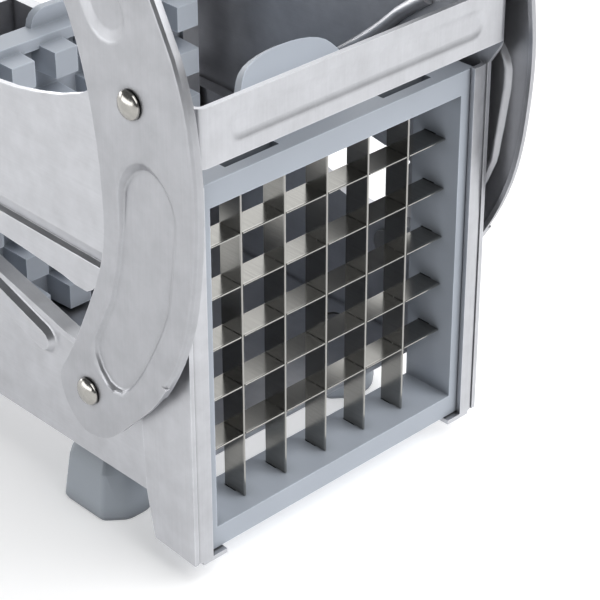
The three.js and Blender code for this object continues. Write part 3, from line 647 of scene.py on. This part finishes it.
def lower_groove(shape, sign, outer):
    """Sets the link plate's groove where the photograph has it, and fills the face round it again."""
    flats = flat_form(shape, 0, sign * (outer - PRESSED), sign)
    upper, lower = pressed_rims(shape, flats)
    groove = {v for e in (*upper, *lower) for v in e.verts}
    low = Vector(min(v.co[axis] for v in groove) for axis in range(3))
    high = Vector(max(v.co[axis] for v in groove) for axis in range(3))
    (start, _), (end, level) = (at_grid(*cells) for cells in LINK_GROOVE_CELLS)
    for v in groove:
        v.co.y = start + (v.co.y - low.y) * (end - start) / (high.y - low.y)
        v.co.z = level + (v.co.z - (low.z + high.z) / 2) * LINK_GROOVE_WIDTH / (high.z - low.z)
    face = flat_form(shape, 0, sign * outer, sign)
    bmesh.ops.delete(shape, geom=face, context="FACES")
    rims = [e for e in shape.edges if e.is_boundary]
    bmesh.ops.triangle_fill(shape, edges=rims, use_beauty=True, normal=(sign, 0, 0))
    bmesh.ops.recalc_face_normals(shape, faces=shape.faces)


def hollow(point):
    """The link groove's upper slope is a broad hollow and the lower one is steep."""
    level = at_grid(*LINK_GROOVE_CELLS[0])[1]
    return Vector((0, 0, -LINK_HOLLOW if point.z > level else 0))


def panel_ends(point):
    """Widens and deepens the slope at an arm panel's top end, and makes the rib above it shallower."""
    pivot = joint_place("lever_hinge")
    span = joint_place("link_hinge") - pivot
    share = (point - pivot).dot(span) / span.length_squared
    inwards = Vector((math.copysign(1, -point.x), 0, 0))
    slope = span.normalized() * END_SLOPE
    if PANEL_END_SHARE < share < 1:
        return (inwards * END_DEPTH - slope) * min(1, (share - PANEL_END_SHARE) / PANEL_END_FADE)
    if share > 1:
        return slope * max(0, min(1, (RIB_END_SHARE - share) / RIB_END_FADE)) - inwards * RIB_SHALLOWER
    return Vector()


class CutterTray(bpy.types.Operator):
    """Make the folded tray."""

    bl_idname = "cutter.tray"
    bl_label = "Tray"

    def execute(self, context):
        outer = farthest_side("body_tray") - RIB_INSET

        def raise_ribs(shape):
            for side in (-1, 1):
                press_further(shape, 0, side * outer, side, depth=-RIB_RAISE)

        dressed("body_tray", steel_along(1), edges().sheet, work=raise_ribs)
        return {"FINISHED"}


class CutterFrontFrame(bpy.types.Operator):
    """Make the front frame with its strap."""

    bl_idname = "cutter.front_frame"
    bl_label = "Front frame"

    def execute(self, context):
        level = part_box("front_frame")[0].y + PRESSED

        def dish(shape):
            heights = [v.co.z for f in flat_form(shape, 1, level, -1) for v in f.verts]
            middle = sum(heights) / len(heights)

            def to_middle(point):
                return Vector((0, 0, math.copysign(DISH_SLOPE, middle - point.z)))

            press_further(shape, 1, level, -1, depth=-DISH_SHALLOWER, ease=to_middle, rims=DISH_RIMS)

        dressed("front_frame", steel_along(2), edges().sheet, work=dish)
        for side in (-1, 1):
            wing_hem(side)
        return {"FINISHED"}


class CutterBladeFrame(bpy.types.Operator):
    """Make the moulded frame that holds the blades."""

    bl_idname = "cutter.blade_frame"
    bl_label = "Blade frame"

    def execute(self, context):
        dressed("blade_frame", grey_moulding(), edges().moulded)
        return {"FINISHED"}


class CutterBlades(bpy.types.Operator):
    """Finish the slotted blades."""

    bl_idname = "cutter.blades"
    bl_label = "Blades"

    def execute(self, context):
        strip = material_named("rolled_blade_strip", rolled_blade_strip)

        def at_front(edge):
            return all(abs(end.co.y - GRID_FRONT) < NEAR_FRONT for end in edge.verts)

        for kind in ("upright", "level"):
            for number in range(1, 6):
                dressed(f"{kind}_blade_{number}", strip, edges().whetted, segments=1, pick=at_front)
        return {"FINISHED"}


class CutterPusher(bpy.types.Operator):
    """Make the pegged pusher, its sled, runners and cross rod."""

    bl_idname = "cutter.pusher"
    bl_label = "Pusher"

    def execute(self, context):
        # The pusher takes a lighter copy of the blue-grey moulding as painted light
        dressed("pusher_plate", polypropylene("polypropylene_pale_grey", colours().pusher), edges().peg)
        dressed("carriage", steel_along(2), edges().sheet)
        for side in ("left", "right"):
            dressed(f"{side}_runner", grey_moulding(), edges().turned)
        dressed("link_axle", nickel(), edges().turned)
        return {"FINISHED"}


class CutterLinkPlates(bpy.types.Operator):
    """Make the two link plates."""

    bl_idname = "cutter.link_plates"
    bl_label = "Link plates"

    def execute(self, context):
        for side, sign in (("left", -1), ("right", 1)):
            outer = farthest_side(f"{side}_link_plate")

            def deepen(shape, sign=sign, outer=outer):
                lower_groove(shape, sign, outer)
                press_further(shape, 0, sign * (outer - PRESSED), sign, ease=hollow, rims=LINK_RIMS)

            plate = dressed(f"{side}_link_plate", steel_along(1), edges().sheet, work=deepen)
            # The triangles that fill the outer face lie in one plane
            for face in plate.data.polygons:
                face.use_smooth = abs(face.normal.x) < FLAT_ON
        return {"FINISHED"}


class CutterLeverArms(bpy.types.Operator):
    """Make the two stamped lever arms."""

    bl_idname = "cutter.lever_arms"
    bl_label = "Lever arms"

    def execute(self, context):
        # The arms get a darker copy of the plated steel as painted shade
        steel = material_named("arm_steel", plated_sheet_steel, colours().arm, 2)
        for side, sign in (("left", -1), ("right", 1)):
            outer = farthest_side(f"{side}_lever_arm")

            def press_panels(shape, sign=sign, outer=outer):
                press_further(shape, 0, sign * (outer - PRESSED), sign, ease=panel_ends, rims=ARM_RIMS)
                # The same forms stand out on the inner face
                press_further(shape, 0, sign * (outer - SHEET - PRESSED), -sign, depth=-PRESSED_FURTHER)

            dressed(f"{side}_lever_arm", steel, edges().sheet, work=press_panels)
        return {"FINISHED"}


class CutterFasteners(bpy.types.Operator):
    """Make the rivets, nuts and screws."""

    bl_idname = "cutter.fasteners"
    bl_label = "Fasteners"

    def execute(self, context):
        for node in sorted(frame["nodes"]):
            if node.endswith(("_rivet", "_nut", "_screw")):
                dressed(node, nickel(), edges().turned)
        return {"FINISHED"}


class CutterFeet(bpy.types.Operator):
    """Make the four moulded feet."""

    bl_idname = "cutter.feet"
    bl_label = "Feet"

    def execute(self, context):
        matt = polypropylene("foot_polypropylene", colours().foot, rough=0.55, texture=0.5)
        for place in ("front_left", "front_right", "rear_left", "rear_right"):
            dressed(f"{place}_foot", matt, edges().moulded)
        return {"FINISHED"}


class CutterHandle(bpy.types.Operator):
    """Make the handle's rod and grip."""

    bl_idname = "cutter.handle"
    bl_label = "Handle"

    def execute(self, context):
        dressed("handle_rod", nickel(), edges().turned)
        matt = polypropylene("grip_polypropylene", colours().grip, rough=0.5, texture=0.6)
        dressed("handle_grip", matt, edges().moulded)
        return {"FINISHED"}


class CutterStage(bpy.types.Operator):
    """Make the floor, the lights and the photograph's camera."""

    bl_idname = "cutter.stage"
    bl_label = "Stage"

    def execute(self, context):
        scene = context.scene
        ground = bmesh.new()
        bmesh.ops.create_grid(ground, x_segments=1, y_segments=1, size=FLOOR_SIZE)
        sheet = bpy.data.meshes.new("floor")
        ground.to_mesh(sheet)
        ground.free()
        sheet.materials.append(light_table("light_table"))
        floor = placed("floor", sheet)

        world = bpy.data.worlds.new("studio")
        world.use_nodes = True
        back = world.node_tree.nodes["Background"]
        back.inputs["Color"].default_value = list(colours().sky)
        back.inputs["Strength"].default_value = 0.16
        scene.world = world

        for name, (place, aim, watts, width, depth) in LIGHTS.items():
            lamp = bpy.data.lights.new(name, "AREA")
            lamp.shape = "RECTANGLE"
            lamp.size = width
            lamp.size_y = depth
            lamp.energy = watts
            light = placed(name, lamp)
            light.location = place
            light.rotation_mode = "QUATERNION"
            light.rotation_quaternion = (Vector(aim) - Vector(place)).to_track_quat("-Z", "Y")

        lens = bpy.data.cameras.new("photo_camera")
        lens.sensor_width = 36.0
        lens.lens = LENS_MILLIMETRES
        lens.clip_start = 0.01
        lens.clip_end = 50.0
        camera = placed("photo_camera", lens)
        ahead = CAMERA_AHEAD.normalized()
        up = CAMERA_RIGHT.normalized().cross(ahead).normalized()
        right = ahead.cross(up).normalized()
        camera.rotation_mode = "QUATERNION"
        camera.rotation_quaternion = Matrix((right, up, -ahead)).transposed().to_quaternion()
        camera.location = CAMERA_PLACE
        scene.camera = camera
        scene.view_settings.view_transform = "Standard"
        return {"FINISHED"}


STEPS = (
    CutterTray,
    CutterFrontFrame,
    CutterBladeFrame,
    CutterBlades,
    CutterPusher,
    CutterLinkPlates,
    CutterLeverArms,
    CutterFasteners,
    CutterFeet,
    CutterHandle,
    CutterStage,
)


class CutterPanel(bpy.types.Panel):
    """Lists the cutter's pieces, edges and colours."""

    bl_idname = "CUTTER_PT_pieces"
    bl_label = "Fry cutter"
    bl_space_type = "VIEW_3D"
    bl_region_type = "UI"
    bl_category = "Fry Cutter"

    def draw(self, context):
        for step in STEPS:
            self.layout.operator(step.bl_idname)
        for group in (context.scene.cutter_edges, context.scene.cutter_colours):
            for key in group.bl_rna.properties.keys():
                if key not in ("rna_type", "name"):
                    self.layout.prop(group, key)


CLASSES = (CutterEdges, CutterColours, *STEPS, CutterPanel)


def register():
    for item in CLASSES:
        bpy.utils.register_class(item)
    bpy.types.Scene.cutter_edges = PointerProperty(type=CutterEdges)
    bpy.types.Scene.cutter_colours = PointerProperty(type=CutterColours)


def unregister():
    del bpy.types.Scene.cutter_colours
    del bpy.types.Scene.cutter_edges
    for item in reversed(CLASSES):
        bpy.utils.unregister_class(item)


def main():
    register()
    for step in STEPS:
        area, action = step.bl_idname.split(".")
        getattr(getattr(bpy.ops, area), action)()


if __name__ == "__main__":
    main()
